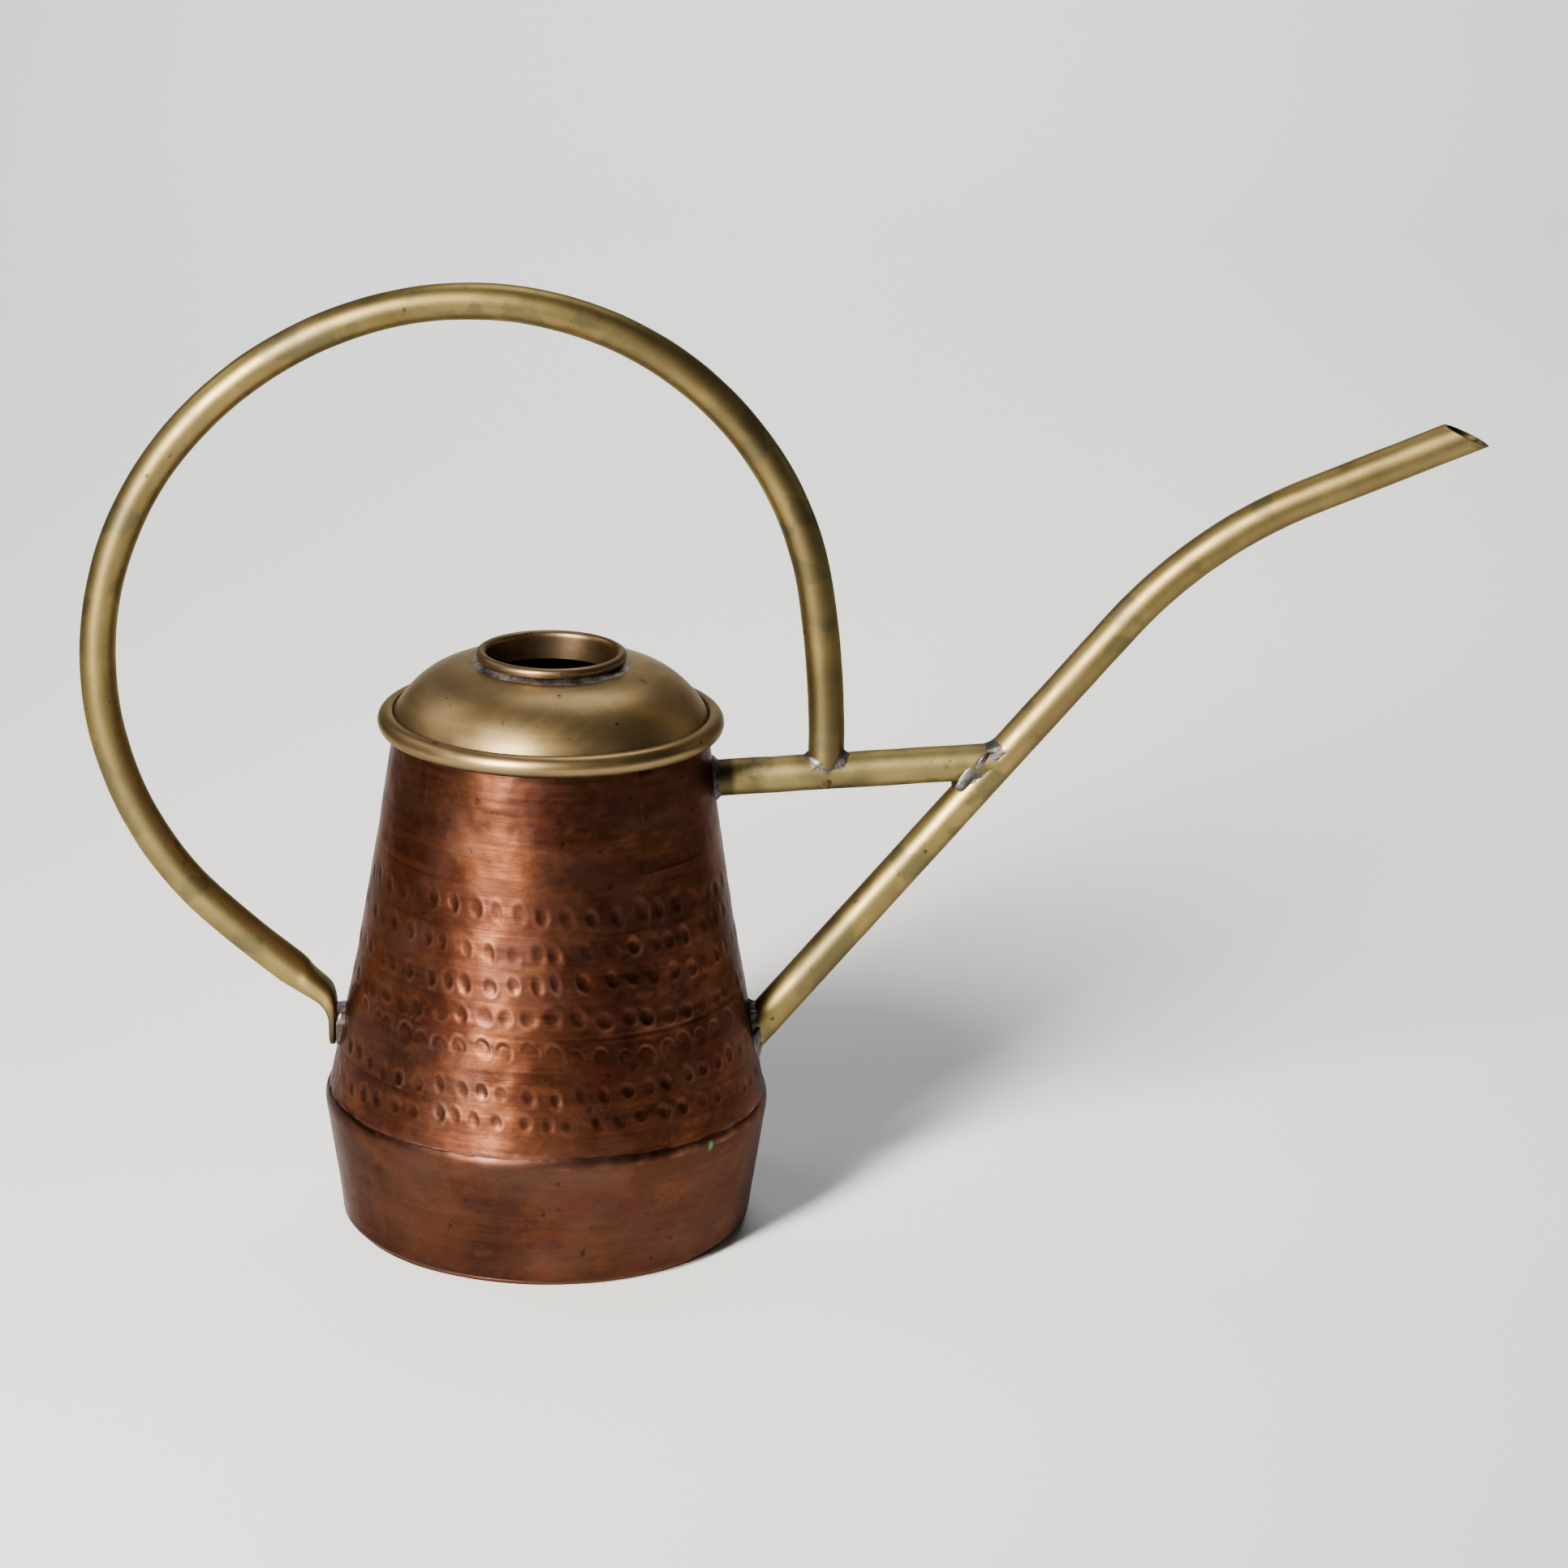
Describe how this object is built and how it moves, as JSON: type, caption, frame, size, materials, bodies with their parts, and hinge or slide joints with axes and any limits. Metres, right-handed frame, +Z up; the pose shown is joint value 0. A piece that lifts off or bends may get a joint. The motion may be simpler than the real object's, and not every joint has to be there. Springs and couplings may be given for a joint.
{
  "type": "watering can",
  "caption": "Watering can with a punched copper body, a domed brass cover with a round filler mouth, a hoop handle, and a long bent brass spout held by a brace tube",
  "frame": {"origin": "centre of the foot, on the axis of the body, on the floor plane", "axes": "+Z up, +X from the body axis towards the spout tip, +Y from the front side seen in the picture to the far side"},
  "size_m": [0.4355, 0.141, 0.3032],
  "materials": {
    "copper_sheet": "aged copper sheet, brown patina, satin",
    "brass_sheet": "aged spun brass, olive brown patina, satin",
    "brass_tube": "drawn brass tube, olive gold patina, satin",
    "solder": "dull grey soft solder"
  },
  "bodies": {
    "root": {"upper_cone": "copper_sheet", "lower_drum": "copper_sheet", "base_plate": "copper_sheet", "dome_cover": "brass_sheet", "neck_ring": "brass_sheet", "hoop_handle": "brass_tube", "brace_tube": "brass_tube", "spout_tube": "brass_tube", "solder_neck_ring": "solder", "solder_cover_rim": "solder", "solder_brace_cone": "solder", "solder_brace_spout": "solder", "solder_handle_brace": "solder", "solder_handle_tab": "solder", "solder_spout_root": "solder", "solder_shoulder": "solder", "solder_base_seam": "solder", "solder_cone_seam": "solder", "solder_drum_seam": "solder"}
  },
  "joints": []
}
